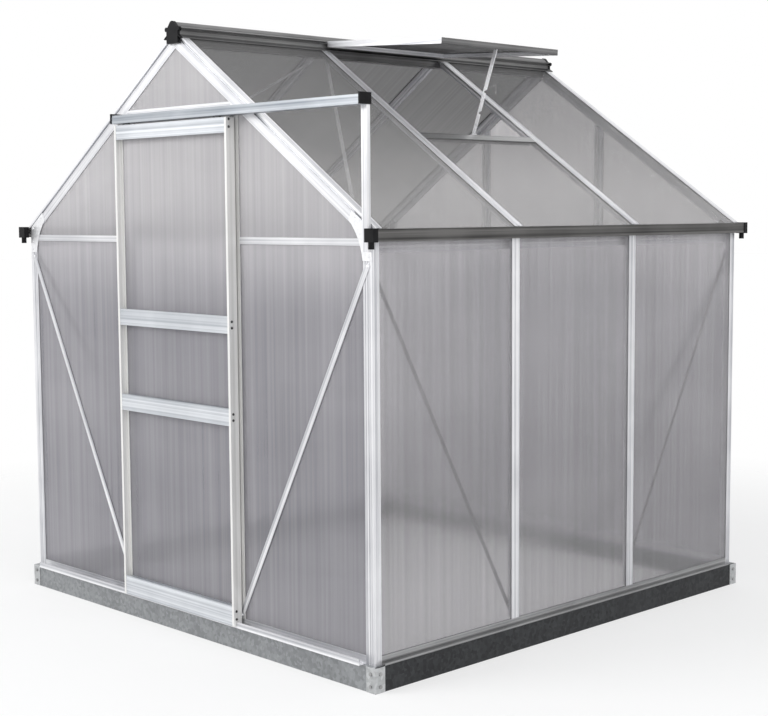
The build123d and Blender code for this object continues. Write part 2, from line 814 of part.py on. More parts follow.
# Door track, its end caps and the strut that carries its free end
with BuildPart() as door_track:
    with BuildSketch(level_plane("front", track_left, track_level)):
        strip(-track_depth, 0, 0, track_height)
        strip(wall - track_depth, -wall, wall, track_height - wall, Mode.SUBTRACT)
        slot_middle = half_y - door_middle
        strip(slot_middle - track_slot / 2, slot_middle + track_slot / 2, 0, wall, Mode.SUBTRACT)
        strip(-wall, 0, track_height, track_height + track_back_lip)
        strip(
            -track_depth,
            flute_depth - track_depth,
            track_height - 3 * wall,
            track_height - 3 * wall + flute_width,
            Mode.SUBTRACT,
        )
    extrude(amount=track_right - track_left)
    drill_rivets(front_face.offset(wall), [track_rivet, (-track_rivet[0], track_rivet[1])])

with BuildPart() as track_end_caps:
    for x, length in ((track_left, -track_cap), (track_right, track_cap)):
        with BuildSketch(level_plane("front", x, track_level)) as cap:
            strip(-track_depth - wall, 0, 0, track_height + track_back_lip + wall)
        extrude(cap.sketch, amount=length)

with BuildPart() as track_strut:
    strut_face = front_face.offset(gusset_thick)
    strut_right = half_x - 2 * cap_wall
    strut_corner = (strut_right, -half_y - gusset_thick, strut_foot)
    with BuildSketch(Plane(origin=strut_corner, x_dir=(0, -1, 0), z_dir=(0, 0, 1))):
        strip(0, strut_thick, -strut_width, 0)
        strip(0, strut_side, -strut_thick, 0)
    extrude(amount=track_level - strut_foot)
    drill_rivets(strut_face.offset(strut_thick), [gusset_post_rivets[1], gusset_rafter_rivets[0]])

# Rivets of the whole frame
all_gusset_rivets = gusset_post_rivets + gusset_rafter_rivets


def both_sides(points):
    return list(points) + [(-x, z) for x, z in points]


with BuildPart() as frame_rivets:
    on_gusset = front_face.offset(gusset_thick)
    add_rivets(on_gusset, [(-x, z) for x, z in all_gusset_rivets])
    add_rivets(on_gusset, [gusset_post_rivets[0], gusset_rafter_rivets[1]])
    add_rivets(on_gusset.offset(strut_thick), [gusset_post_rivets[1], gusset_rafter_rivets[0]])
    add_rivets(rear_face.offset(gusset_thick), both_sides(all_gusset_rivets))
    for face in (front_face, rear_face):
        add_rivets(face.offset(brace_thick), both_sides([brace_top_rivet, brace_foot_rivet]))
    add_rivets(front_face.offset(wall), both_sides([track_rivet]))
    for sign in (-1, 1):
        wall_side = Plane(
            origin=(sign * (half_x - stud_depth - brace_thick), 0, 0),
            x_dir=(0, -sign, 0),
            z_dir=(-sign, 0, 0),
        )
        add_rivets(wall_side, both_sides(side_brace_ends))
        slope = slope_plane(sign, stud_depth + brace_thick)
        below = Plane(origin=slope.origin, x_dir=slope.x_dir, z_dir=-slope.z_dir)
        add_rivets(below, [(s, sign * y) for s, y in roof_brace_ends])

# Sheets of the walls
transom_slot = transom_core / 2 + edge_clear
lower_top = transom_level - transom_slot
upper_foot = transom_level + transom_slot
gable_edge = half_x - post_core - edge_clear
rafter_slot = rafter_core + edge_clear
sheet_plane = front_face.offset(-sheet_in - panel_thick)


def gable_sheet(left, right, foot):
    # A sheet whose upper edge follows the right-hand rafter
    right_top = (right, roof_z(right, rafter_slot))
    left_top = (left, roof_z(left, rafter_slot))
    Polygon((left, foot), (right, foot), right_top, left_top, align=None)


def house_sheet(half, foot):
    # A sheet under both rafters
    Polygon(
        (-half, foot),
        (half, foot),
        (half, roof_z(half, rafter_slot)),
        (0, roof_z(0, rafter_slot)),
        (-half, roof_z(half, rafter_slot)),
        align=None,
    )


with BuildPart() as front_wall_panels:
    with BuildSketch(sheet_plane) as right_sheets:
        strip(half_bay + stud_slot, gable_edge, sheet_foot, lower_top)
        gable_sheet(half_bay + stud_slot, gable_edge - 2 * wall, upper_foot)
    extrude(right_sheets.sketch, amount=panel_thick)
    mirror(about=Plane.YZ)
    with BuildSketch(sheet_plane) as apex_sheet:
        house_sheet(half_bay - reveal - edge_clear, door_head_level + transom_slot)
    extrude(apex_sheet.sketch, amount=panel_thick)

with BuildPart() as rear_wall_panels:
    outer_sheets = front_wall_panels.part.solids().filter_by(lambda s: abs(s.center().X) > half_bay / 2)
    mirror(outer_sheets, about=Plane.XZ)
    rear_plane = rear_face.offset(-sheet_in - panel_thick)
    with BuildSketch(rear_plane) as middle_sheets:
        strip(-half_bay + stud_slot, half_bay - stud_slot, sheet_foot, lower_top)
        house_sheet(half_bay - stud_slot, upper_foot)
    extrude(middle_sheets.sketch, amount=panel_thick)

side_edge = half_y - post_side_core - edge_clear
sheet_head = eave_height - edge_clear
with BuildPart() as right_wall_panels:
    side_face = Plane(origin=(half_x - sheet_in - panel_thick, 0, 0), x_dir=(0, 1, 0), z_dir=(1, 0, 0))
    with BuildSketch(side_face):
        strip(-side_edge, -half_bay - stud_slot, sheet_foot, sheet_head)
        strip(-half_bay + stud_slot, half_bay - stud_slot, sheet_foot, sheet_head)
        strip(half_bay + stud_slot, side_edge, sheet_foot, sheet_head)
    extrude(amount=panel_thick)

with BuildPart() as left_wall_panels:
    mirror(right_wall_panels.part, about=Plane.YZ)

# Sheets of the roof: the middle one on the right stops at the vent sill
sheet_depth = sheet_in + panel_thick
roof_top = (spine_half + edge_clear + sheet_depth * sin(pitch)) / cos(pitch)
roof_foot = (roof_end + sheet_in * sin(pitch)) / cos(pitch)


def roof_sheets(middle_top):
    strip(roof_top, roof_foot, -side_edge, -half_bay - stud_slot)
    strip(middle_top, roof_foot, -half_bay + stud_slot, half_bay - stud_slot)
    strip(roof_top, roof_foot, half_bay + stud_slot, side_edge)


with BuildPart() as right_roof_panels:
    with BuildSketch(slope_plane(1, sheet_depth)):
        roof_sheets(vent_sill_at + stud_core + edge_clear)
    extrude(amount=panel_thick)

with BuildPart() as left_roof_panels:
    with BuildSketch(slope_plane(-1, sheet_depth)):
        roof_sheets(roof_top)
    extrude(amount=panel_thick)

# Door leaf: stiles with a slot near the back, rails with screw ports, panes
door_half = door_width / 2
stile_inner = door_half - stile_face
slot_back = pane_slot_at + slot_width
port_depth = (rail_set_back + pane_slot_at - wall) / 2
rail_levels = {
    "top": (door_top - top_rail_core, door_top),
    "upper": (upper_rail_level - rail_core_half, upper_rail_level + rail_core_half),
    "lower": (lower_rail_level - rail_core_half, lower_rail_level + rail_core_half),
    "bottom": (door_bottom + bottom_channel, door_bottom + bottom_rail_height - rail_half + rail_core_half),
}
screw_heights = []
for low, high in rail_levels.values():
    screw_heights += [low + port_inset, high - port_inset]
screw_points = [(port_depth - door_front, z) for z in screw_heights]
door_right_side = Plane(origin=(door_half, 0, 0), x_dir=(0, 1, 0), z_dir=(1, 0, 0))

with BuildPart() as door_stiles:
    with BuildSketch(Plane(origin=(-door_half, -door_front, door_bottom), x_dir=(1, 0, 0), z_dir=(0, 0, 1))):
        strip(0, stile_face, 0, door_depth)
        strip(wall, stile_face - wall, wall, door_depth - wall, Mode.SUBTRACT)
        strip(stile_face, stile_face + pane_grip, pane_slot_at - wall, pane_slot_at)
        strip(stile_face, stile_face + pane_grip, slot_back, slot_back + wall)
    extrude(amount=door_top - door_bottom)
    mirror(about=Plane.YZ)
    drill(door_right_side, screw_points, door_width, screw_shank + hole_clear)
    fin_start = Plane(origin=(-door_half, -fin_at, door_bottom), x_dir=(0, 1, 0), z_dir=(1, 0, 0))
    with BuildSketch(fin_start) as fin_slot:
        fin_half = wall / 2 + fin_clear
        strip(-fin_half, fin_half, 0, base_height + wall + fin_height + fin_clear - door_bottom)
    extrude(fin_slot.sketch, amount=door_width, mode=Mode.SUBTRACT)


def rail_front(low, high, core_low, core_high):
    # The broad face and the hollow core with two screw ports, between the stiles
    plane = Plane(origin=(-stile_inner, -door_front, 0), x_dir=(0, 1, 0), z_dir=(1, 0, 0))
    core_back = pane_slot_at - wall
    with BuildSketch(plane) as section:
        strip(rail_set_back, rail_set_back + wall, low, high)
        strip(rail_set_back, core_back, core_low, core_high)
        strip(rail_set_back + wall, core_back - wall, core_low + wall, core_high - wall, Mode.SUBTRACT)
        with Locations((port_depth, core_low + port_inset), (port_depth, core_high - port_inset)):
            Circle(port_radius)
            Circle(screw_shank / 2 + thread_clear, mode=Mode.SUBTRACT)
        for edge in (low + 4 * wall, high - 4 * wall):
            flute_low = edge - flute_width / 2
            flute_high = edge + flute_width / 2
            strip(rail_set_back, rail_set_back + flute_depth, flute_low, flute_high, Mode.SUBTRACT)
    extrude(section.sketch, amount=2 * stile_inner)


def rail_back(low, high, core_low, core_high):
    # The flanges that hold the panes, between the stiles' own flanges
    reach = stile_inner - pane_grip
    plane = Plane(origin=(-reach, -door_front, 0), x_dir=(0, 1, 0), z_dir=(1, 0, 0))
    with BuildSketch(plane) as section:
        strip(pane_slot_at - wall, pane_slot_at, low, high)
        strip(slot_back, slot_back + wall, low, high)
        strip(pane_slot_at - wall, slot_back, core_low, core_high)
    extrude(section.sketch, amount=2 * reach)


with BuildPart() as door_top_rail:
    low, high = rail_levels["top"]
    rail_front(door_top - top_rail_height, door_top, low, high)
    rail_back(low - pane_grip, high, low, high)
    hanger_screws = [
        (side * hanger_at + offset_x, -door_front + port_depth)
        for side in (-1, 1)
        for offset_x in (-hanger_foot_length / 3, hanger_foot_length / 3)
    ]
    drill(Plane.XY.offset(door_top), hanger_screws, screw_head, screw_shank + hole_clear)

with BuildPart() as door_mid_rails:
    for name, level in (("upper", upper_rail_level), ("lower", lower_rail_level)):
        low, high = rail_levels[name]
        rail_front(level - rail_half, level + rail_half, low, high)
        rail_back(low - pane_grip, high + pane_grip, low, high)

with BuildPart() as door_bottom_rail:
    low, high = rail_levels["bottom"]
    rail_front(door_bottom, door_bottom + bottom_rail_height, low, high)
    rail_back(low, high + pane_grip, low, high)
    with BuildSketch(Plane(origin=(-stile_inner, -door_front, 0), x_dir=(0, 1, 0), z_dir=(1, 0, 0))) as skirt:
        strip(pane_slot_at - 2 * wall, pane_slot_at - wall, door_bottom, low + wall)
    extrude(skirt.sketch, amount=2 * stile_inner)

with BuildPart() as door_panes:
    pane_half = stile_inner - edge_clear
    pane_back = pane_slot_at + panel_clear + panel_thick - door_front
    pane_plane = Plane(origin=(0, pane_back, 0), x_dir=(1, 0, 0), z_dir=(0, -1, 0))
    with BuildSketch(pane_plane):
        for below, above in (("bottom", "lower"), ("lower", "upper"), ("upper", "top")):
            pane_foot = rail_levels[below][1] + edge_clear
            pane_head = rail_levels[above][0] - edge_clear
            strip(-pane_half, pane_half, pane_foot, pane_head)
    extrude(amount=panel_thick)

with BuildPart() as door_screws:
    for sign in (-1, 1):
        side = Plane(origin=(sign * door_half, 0, 0), x_dir=(0, sign, 0), z_dir=(sign, 0, 0))
        points = [(sign * y, z) for y, z in screw_points]
        with BuildSketch(side) as heads:
            with Locations(*points):
                Circle(screw_head / 2)
        extrude(heads.sketch, amount=screw_head_high, taper=30)
        with BuildSketch(side) as shanks:
            with Locations(*points):
                Circle(screw_shank / 2)
        extrude(shanks.sketch, amount=-screw_length)
    with BuildSketch(Plane.XY.offset(door_top + hanger_thick)) as heads:
        with Locations(*hanger_screws):
            Circle(screw_head / 2)
    extrude(heads.sketch, amount=screw_head_high, taper=30)
    with BuildSketch(Plane.XY.offset(door_top + hanger_thick)) as shanks:
        with Locations(*hanger_screws):
            Circle(screw_shank / 2)
    extrude(shanks.sketch, amount=-(hanger_thick + wall + port_inset - port_radius))

with BuildPart() as door_glides:
    channel_front = rail_set_back + wall
    channel_back = pane_slot_at - 2 * wall
    fin_in = door_front - fin_at
    for side in (-1, 1):
        start = side * glide_at - glide_length / 2
        with BuildSketch(Plane(origin=(start, -door_front, 0), x_dir=(0, 1, 0), z_dir=(1, 0, 0))) as block:
            strip(channel_front, channel_back, door_bottom, door_bottom + bottom_channel)
            fin_half = wall / 2 + fin_clear
            slot_top = base_height + wall + fin_height + fin_clear
            strip(fin_in - fin_half, fin_in + fin_half, door_bottom, slot_top, Mode.SUBTRACT)
        extrude(block.sketch, amount=glide_length)

# Hangers on the top rail, and a roller pair on an axle through each hanger
roller_z = track_level + wall + rest_clear + roller_radius

with BuildPart() as door_hangers:
    for side in (-1, 1):
        middle = side * hanger_at
        with BuildSketch(Plane.XY.offset(door_top)) as foot:
            with Locations((middle, -door_front + port_depth)):
                Rectangle(hanger_foot_length, hanger_foot_depth)
        extrude(foot.sketch, amount=hanger_thick)
        with BuildSketch(Plane.XY.offset(door_top)) as plate:
            with Locations((middle, -door_middle)):
                Rectangle(hanger_width, hanger_thick)
        extrude(plate.sketch, amount=roller_z + 2 * axle_radius - door_top)
        behind = (middle, hanger_thick - door_middle, roller_z)
        with BuildSketch(Plane(origin=behind, x_dir=(1, 0, 0), z_dir=(0, -1, 0))) as bore:
            Circle(axle_radius + axle_clear)
        extrude(bore.sketch, amount=2 * hanger_thick, mode=Mode.SUBTRACT)
    drill(Plane.XY.offset(door_top + hanger_thick), hanger_screws, hanger_thick, screw_shank + hole_clear)


def roller(middle):
    inner = hanger_thick / 2 + roller_side_clear
    outer = inner + roller_width
    axle_end = Plane(origin=(middle, outer - door_middle, roller_z), x_dir=(1, 0, 0), z_dir=(0, -1, 0))
    with BuildSketch(axle_end) as axle:
        Circle(axle_radius)
    extrude(axle.sketch, amount=2 * outer)
    for start in (axle_end, axle_end.offset(outer + inner)):
        with BuildSketch(start) as wheel:
            Circle(roller_radius)
        extrude(wheel.sketch, amount=roller_width)


with BuildPart() as door_roller_left:
    roller(-hanger_at)

with BuildPart() as door_roller_right:
    roller(hanger_at)

# Vent sash, drawn at the angle to which its stay holds it open
slot_half = slot_width / 2
sash_top = slot_half + wall


def sash_point(along, y, up=0.0):
    return hinge_point + sash_along * along + across * y + sash_up * up


def sash_rail_profile(lower_grip):
    strip(0, wall, -sash_skirt, sash_top)
    strip(0, sash_grip, slot_half, sash_top)
    strip(0, lower_grip, -sash_top, -slot_half)


with BuildPart() as vent_side_rails:
    with BuildSketch(Plane(origin=sash_point(sash_start, -sash_half), x_dir=across, z_dir=sash_along)):
        sash_rail_profile(sash_grip)
    extrude(amount=sash_length - sash_start)
    mitre(sash_point(sash_start, -sash_half), -sash_along, across)
    mitre(sash_point(sash_length, -sash_half), sash_along, across)
    mirror(about=Plane.XZ)

with BuildPart() as vent_top_rail:
    rail_end = sash_point(sash_start, sash_half)
    with BuildSketch(Plane(origin=rail_end, x_dir=sash_along, z_dir=-across)) as rail:
        sash_rail_profile(sash_grip)
    extrude(rail.sketch, amount=2 * sash_half)
    mitre(sash_point(sash_start, -sash_half), -across, sash_along)
    mitre(sash_point(sash_start, sash_half), across, sash_along)
    with BuildSketch(Plane(origin=sash_point(0, sash_half - wall), x_dir=sash_along, z_dir=-across)) as bead:
        Circle(bead_radius)
        strip(0, sash_start + wall / 2, -neck_thick / 2, neck_thick / 2)
    extrude(bead.sketch, amount=2 * (sash_half - wall))

lug_near = stay_thick / 2 + stay_side_clear
with BuildPart() as vent_bottom_rail:
    rail_end = sash_point(sash_length, -sash_half)
    with BuildSketch(Plane(origin=rail_end, x_dir=-sash_along, z_dir=across)) as rail:
        sash_rail_profile(sash_sill_flange)
    extrude(rail.sketch, amount=2 * sash_half)
    mitre(sash_point(sash_length, -sash_half), -across, -sash_along)
    mitre(sash_point(sash_length, sash_half), across, -sash_along)
    lug_far = sash_point(lug_at, lug_near + lug_thick)
    with BuildSketch(Plane(origin=lug_far, x_dir=sash_along, z_dir=-across)) as lug:
        strip(-lug_width / 2, lug_width / 2, -lug_drop, -slot_half)
        with Locations((0, -lug_drop)):
            Circle(2 * pin_radius)
    extrude(lug.sketch, amount=lug_thick)
    pin_start = sash_point(lug_at, lug_near, -lug_drop)
    with BuildSketch(Plane(origin=pin_start, x_dir=sash_along, z_dir=-across)) as pin:
        Circle(pin_radius)
    extrude(pin.sketch, amount=lug_near + stay_thick)

with BuildPart() as vent_pane:
    with BuildSketch(Plane(origin=sash_point(0, 0, -panel_thick / 2), x_dir=sash_along, z_dir=sash_up)):
        rim = wall + edge_clear
        strip(sash_start + rim, sash_length - rim, rim - sash_half, sash_half - rim)
    extrude(amount=panel_thick)

# Stay: a flat bar on the sash's pin, with side notches for the peg


def notch(x, z):
    gap = pin_radius + notch_clear
    reach = stay_width
    with Locations((x, z)):
        Circle(gap, mode=Mode.SUBTRACT)
    corners = []
    for turn, lean in ((101, 16), (-79, -20)):
        start = (x + gap * cos(radians(turn)), z + gap * sin(radians(turn)))
        corners.append(start)
        corners.append((start[0] + reach * cos(radians(lean)), start[1] + reach * sin(radians(lean))))
    Polygon(corners[0], corners[2], corners[3], corners[1], align=None, mode=Mode.SUBTRACT)


with BuildPart() as vent_stay:
    run_x = cos(radians(stay_angle))
    run_z = sin(radians(stay_angle))
    with BuildSketch(Plane(origin=(0, stay_thick / 2, 0), x_dir=(1, 0, 0), z_dir=(0, -1, 0))):
        half_run = (stay_length + stay_tail) / 2
        with Locations((stay_top.X + run_x * half_run, stay_top.Z + run_z * half_run)):
            SlotCenterToCenter(2 * half_run, stay_width, rotation=stay_angle)
        with Locations((stay_top.X, stay_top.Z)):
            Circle(pin_radius + pin_clear, mode=Mode.SUBTRACT)
        for share in (0.5, 0.75, 1.0):
            notch(stay_top.X + run_x * stay_length * share, stay_top.Z + run_z * stay_length * share)
    extrude(amount=stay_thick)

# One file for each sub-part
pieces = {
    "base_rails_end": base_rails_end,
    "base_rails_side": base_rails_side,
    "base_corner_brackets": base_corner_brackets,
    "base_bolts": base_bolts,
    "sill_front": sill_front,
    "sill_rear": sill_rear,
    "side_sills": side_sills,
    "corner_posts_front": corner_posts_front,
    "corner_posts_rear": corner_posts_rear,
    "side_studs_left": side_studs_left,
    "side_studs_right": side_studs_right,
    "door_post_left": door_post_left,
    "door_post_right": door_post_right,
    "rear_studs": rear_studs,
    "front_transoms": front_transoms,
    "rear_transoms": rear_transoms,
    "door_head_rail": door_head_rail,
    "rafters_front": rafters_front,
    "rafters_rear": rafters_rear,
    "roof_bars_left": roof_bars_left,
    "roof_bars_right": roof_bars_right,
    "ridge_bar": ridge_bar,
    "ridge_end_caps": ridge_end_caps,
    "gutter_left": gutter_left,
    "gutter_right": gutter_right,
    "gutter_end_caps": gutter_end_caps,
    "vent_sill": vent_sill,
    "vent_peg_bracket": vent_peg_bracket,
    "front_braces": front_braces,
    "rear_braces": rear_braces,
    "side_braces": side_braces,
    "roof_braces": roof_braces,
    "gussets": gussets,
    "frame_rivets": frame_rivets,
    "door_track": door_track,
    "track_end_caps": track_end_caps,
    "track_strut": track_strut,
    "front_wall_panels": front_wall_panels,
    "rear_wall_panels": rear_wall_panels,
    "left_wall_panels": left_wall_panels,
    "right_wall_panels": right_wall_panels,
    "left_roof_panels": left_roof_panels,
    "right_roof_panels": right_roof_panels,
    "door_stiles": door_stiles,
    "door_top_rail": door_top_rail,
    "door_mid_rails": door_mid_rails,
    "door_bottom_rail": door_bottom_rail,
    "door_panes": door_panes,
    "door_screws": door_screws,
    "door_glides": door_glides,
    "door_hangers": door_hangers,
    "door_roller_left": door_roller_left,
    "door_roller_right": door_roller_right,
    "vent_top_rail": vent_top_rail,
    "vent_side_rails": vent_side_rails,
    "vent_bottom_rail": vent_bottom_rail,
    "vent_pane": vent_pane,
    "vent_stay": vent_stay,
}
os.makedirs("parts", exist_ok=True)
for name, piece in pieces.items():
    piece.part.label = name
    export_step(piece.part, f"parts/{name}.step")
print(f"vent hinge {hinge_x:.3f} {hinge_z:.3f}  stay pin {stay_top.X:.3f} {stay_top.Z:.3f}")
print(f"roller height {roller_z:.3f}  ridge line {roof_apex:.3f}  stay angle {stay_angle:.3f}")
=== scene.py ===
import bpy
import math
import numpy as np
from mathutils import Matrix, Vector


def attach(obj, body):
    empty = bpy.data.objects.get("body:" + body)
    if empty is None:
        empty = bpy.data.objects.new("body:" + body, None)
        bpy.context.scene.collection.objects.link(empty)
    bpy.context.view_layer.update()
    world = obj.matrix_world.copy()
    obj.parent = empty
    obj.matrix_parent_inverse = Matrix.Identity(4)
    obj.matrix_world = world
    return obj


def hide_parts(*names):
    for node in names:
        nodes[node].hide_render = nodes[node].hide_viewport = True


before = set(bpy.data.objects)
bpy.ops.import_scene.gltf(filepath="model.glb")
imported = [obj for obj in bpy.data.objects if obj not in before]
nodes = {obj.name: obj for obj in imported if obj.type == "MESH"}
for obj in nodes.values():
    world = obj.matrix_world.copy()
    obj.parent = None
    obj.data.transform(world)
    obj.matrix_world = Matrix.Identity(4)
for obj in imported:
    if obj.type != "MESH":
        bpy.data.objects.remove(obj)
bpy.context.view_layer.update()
scene = bpy.context.scene
scene.view_settings.view_transform = "Standard"

# Greenhouse in metres: the door gable faces -Y, the vent is on the +X slope
house = dict(halfX=0.932, halfY=0.927, pitch=math.radians(34.2), apex=2.009619)
sinP, cosP = math.sin(house["pitch"]), math.cos(house["pitch"])
print("frame loaded:", len(nodes), "nodes")


def roofHeight(x, depth=0.0):
    # height of the roof's outer face over x, less a depth measured square to the slope
    return house["apex"] - np.abs(x) * math.tan(house["pitch"]) - depth / math.cos(house["pitch"])


# Small helpers for shader nodes
def makeGroup(name, ins, outs):
    tree = bpy.data.node_groups.new(name, "ShaderNodeTree")
    for label, kind, value in ins:
        sock = tree.interface.new_socket(label, in_out="INPUT", socket_type=kind)
        if value is not None:
            sock.default_value = value
    for label in outs:
        tree.interface.new_socket(label, in_out="OUTPUT", socket_type="NodeSocketFloat")
    return tree, tree.nodes.new("NodeGroupInput"), tree.nodes.new("NodeGroupOutput")


def addNode(tree, kind, **values):
    node = tree.nodes.new(kind)
    for key, value in values.items():
        if hasattr(node, key):
            setattr(node, key, value)
        else:
            node.inputs[key].default_value = value
    return node


def scaled(tree, vector, factor):
    node = addNode(tree, "ShaderNodeVectorMath", operation="MULTIPLY")
    tree.links.new(vector, node.inputs[0])
    node.inputs[1].default_value = factor
    return node.outputs[0]


def noise(tree, vector, scale, detail=2.0, rough=0.5):
    node = addNode(tree, "ShaderNodeTexNoise", Scale=scale, Detail=detail, Roughness=rough)
    tree.links.new(vector, node.inputs["Vector"])
    return node.outputs["Fac"]


def spread(tree, value, low, high, fromLow=0.3, fromHigh=0.7):
    node = tree.nodes.new("ShaderNodeMapRange")
    node.inputs["From Min"].default_value = fromLow
    node.inputs["From Max"].default_value = fromHigh
    node.inputs["To Min"].default_value = low
    node.inputs["To Max"].default_value = high
    tree.links.new(value, node.inputs["Value"])
    return node.outputs[0]


def maths(tree, operation, a, b=0.0):
    node = addNode(tree, "ShaderNodeMath", operation=operation)
    for place, value in enumerate((a, b)):
        if isinstance(value, (int, float)):
            node.inputs[place].default_value = value
        else:
            tree.links.new(value, node.inputs[place])
    return node.outputs[0]


def shares(tree, *pairs):
    # the sum of each value times its share
    total = None
    for value, share in pairs:
        part = maths(tree, "MULTIPLY", value, share)
        total = part if total is None else maths(tree, "ADD", total, part)
    return total


def tinted(tree, factor, dark, light):
    node = addNode(tree, "ShaderNodeMix", data_type="RGBA")
    node.inputs[6].default_value = (*dark, 1)
    node.inputs[7].default_value = (*light, 1)
    tree.links.new(factor, node.inputs[0])
    return node.outputs[2]


# Shader node groups shared by several materials
coordInput = ("Coord", "NodeSocketVector", None)
patternOuts = ["Tone", "Rough", "Height"]

# Drawn metal: bands and fine die lines along the bar, with slow cloudy patches over them. The die lines are the
# metal's own; the bands and patches are partly its own streaks and partly a painted reflection.
# Coordinates are mirrored in x, and shrunk along the bar: fine * p + along * (p . along) * (slow - fine)
drawnLook = dict(fine=900.0, slow=3.0, band=0.13, cloud=5.0, lineShare=0.22, cloudShare=0.23, bandShare=0.55,
                 reach=(0.36, 0.6), rough=0.06)
drawn, ins, outs = makeGroup("drawnMetal", [coordInput, ("Along", "NodeSocketVector", (1, 0, 0))], patternOuts)
split = drawn.nodes.new("ShaderNodeSeparateXYZ")
drawn.links.new(ins.outputs[0], split.inputs[0])
point = drawn.nodes.new("ShaderNodeCombineXYZ")
drawn.links.new(maths(drawn, "ABSOLUTE", split.outputs[0]), point.inputs[0])
drawn.links.new(split.outputs[1], point.inputs[1])
drawn.links.new(split.outputs[2], point.inputs[2])
onBar = addNode(drawn, "ShaderNodeVectorMath", operation="DOT_PRODUCT")
drawn.links.new(point.outputs[0], onBar.inputs[0])
drawn.links.new(ins.outputs[1], onBar.inputs[1])
shrink = addNode(drawn, "ShaderNodeVectorMath", operation="SCALE")
drawn.links.new(ins.outputs[1], shrink.inputs[0])
shrinkBy = maths(drawn, "MULTIPLY", onBar.outputs["Value"], drawnLook["slow"] - drawnLook["fine"])
drawn.links.new(shrinkBy, shrink.inputs["Scale"])
drawnAt = addNode(drawn, "ShaderNodeVectorMath", operation="ADD")
drawn.links.new(scaled(drawn, point.outputs[0], (drawnLook["fine"],) * 3), drawnAt.inputs[0])
drawn.links.new(shrink.outputs[0], drawnAt.inputs[1])
lines = noise(drawn, drawnAt.outputs[0], 1.0, 3.0, 0.6)
# bands and cloudy patches: partly the metal's own streaks, partly a painted reflection
bands = noise(drawn, drawnAt.outputs[0], drawnLook["band"], 1.0)
cloud = noise(drawn, ins.outputs[0], drawnLook["cloud"], 3.0)
mixed = shares(drawn, (lines, drawnLook["lineShare"]), (cloud, drawnLook["cloudShare"]), (bands, drawnLook["bandShare"]))
drawn.links.new(spread(drawn, mixed, 0.0, 1.0, *drawnLook["reach"]), outs.inputs[0])
drawn.links.new(spread(drawn, mixed, -drawnLook["rough"], drawnLook["rough"]), outs.inputs[1])
drawn.links.new(lines, outs.inputs[2])

# Spangle: zinc crystals about a centimetre across, each its own tone, under a dull patina
spangleLook = dict(perMetre=90.0, patina=7.0, crystalShare=0.4, patinaShare=0.6, rough=0.07)
spangle, ins, outs = makeGroup("spangle", [coordInput, ("Size", "NodeSocketFloat", spangleLook["perMetre"])], patternOuts)
crystals = spangle.nodes.new("ShaderNodeTexVoronoi")
spangle.links.new(ins.outputs[0], crystals.inputs["Vector"])
spangle.links.new(ins.outputs[1], crystals.inputs["Scale"])
split = spangle.nodes.new("ShaderNodeSeparateColor")
spangle.links.new(crystals.outputs["Color"], split.inputs[0])
patina = noise(spangle, ins.outputs[0], spangleLook["patina"], 5.0, 0.65)
mixed = shares(spangle, (split.outputs[0], spangleLook["crystalShare"]), (patina, spangleLook["patinaShare"]))
spangle.links.new(spread(spangle, mixed, 0.0, 1.0), outs.inputs[0])
spangle.links.new(spread(spangle, split.outputs[1], -spangleLook["rough"], spangleLook["rough"], 0.0, 1.0), outs.inputs[1])
spangle.links.new(crystals.outputs["Distance"], outs.inputs[2])

# Moulded plastic and plated steel: a fine even grain, with slow worn patches
grainLook = dict(fine=1400.0, worn=30.0, rough=0.08)
grain, ins, outs = makeGroup("plasticGrain", [coordInput], patternOuts)
fine = noise(grain, ins.outputs[0], grainLook["fine"], 2.0)
worn = noise(grain, ins.outputs[0], grainLook["worn"], 4.0)
grain.links.new(spread(grain, worn, 0.0, 1.0), outs.inputs[0])
grain.links.new(spread(grain, worn, -grainLook["rough"], grainLook["rough"]), outs.inputs[1])
grain.links.new(fine, outs.inputs[2])

# Twin-wall sheet: a rib line at every pitch across, streaks along, a cloudy haze whose tone is a painted reflection
# and whose roughness is the sheet's own, and how far up a point is, for a painted gradient of light, shade and
# reflection
flutePattern = dict(pitch=0.006, ribEdge=(0.03, 0.16), streak=(50.0, 0.4, 1.0), hazeAndReflection=(0.9, 0.9, 2.6),
                    reach=(0.34, 0.66), rough=0.05, bumpDepth=0.0006)
flutes, ins, outs = makeGroup(
    "sheetFlutes",
    [("Sheet", "NodeSocketVector", None), coordInput, ("Pitch", "NodeSocketFloat", flutePattern["pitch"]),
     ("Low", "NodeSocketFloat", 0.0), ("High", "NodeSocketFloat", 2.0), ("Streak", "NodeSocketFloat", 0.3)],
    ["Tone", "Rib", "Rough", "Height", "Rise"],
)
parts = flutes.nodes.new("ShaderNodeSeparateXYZ")
flutes.links.new(ins.outputs["Sheet"], parts.inputs[0])
turns = maths(flutes, "DIVIDE", parts.outputs[0], ins.outputs["Pitch"])
wave = maths(flutes, "PINGPONG", turns, 0.5)
rib = spread(flutes, wave, 1.0, 0.0, *flutePattern["ribEdge"])
streak = noise(flutes, scaled(flutes, ins.outputs["Sheet"], flutePattern["streak"]), 1.0, 3.0, 0.6)
hazeAndReflection = noise(flutes, scaled(flutes, ins.outputs["Coord"], flutePattern["hazeAndReflection"]), 1.0, 3.0, 0.5)
hazeShare = maths(flutes, "SUBTRACT", 1.0, ins.outputs["Streak"])
mixed = shares(flutes, (streak, ins.outputs["Streak"]), (hazeAndReflection, hazeShare))
flutes.links.new(spread(flutes, mixed, 0.0, 1.0, *flutePattern["reach"]), outs.inputs["Tone"])
flutes.links.new(rib, outs.inputs["Rib"])
flutes.links.new(spread(flutes, hazeAndReflection, -flutePattern["rough"], flutePattern["rough"]), outs.inputs["Rough"])
flutes.links.new(wave, outs.inputs["Height"])
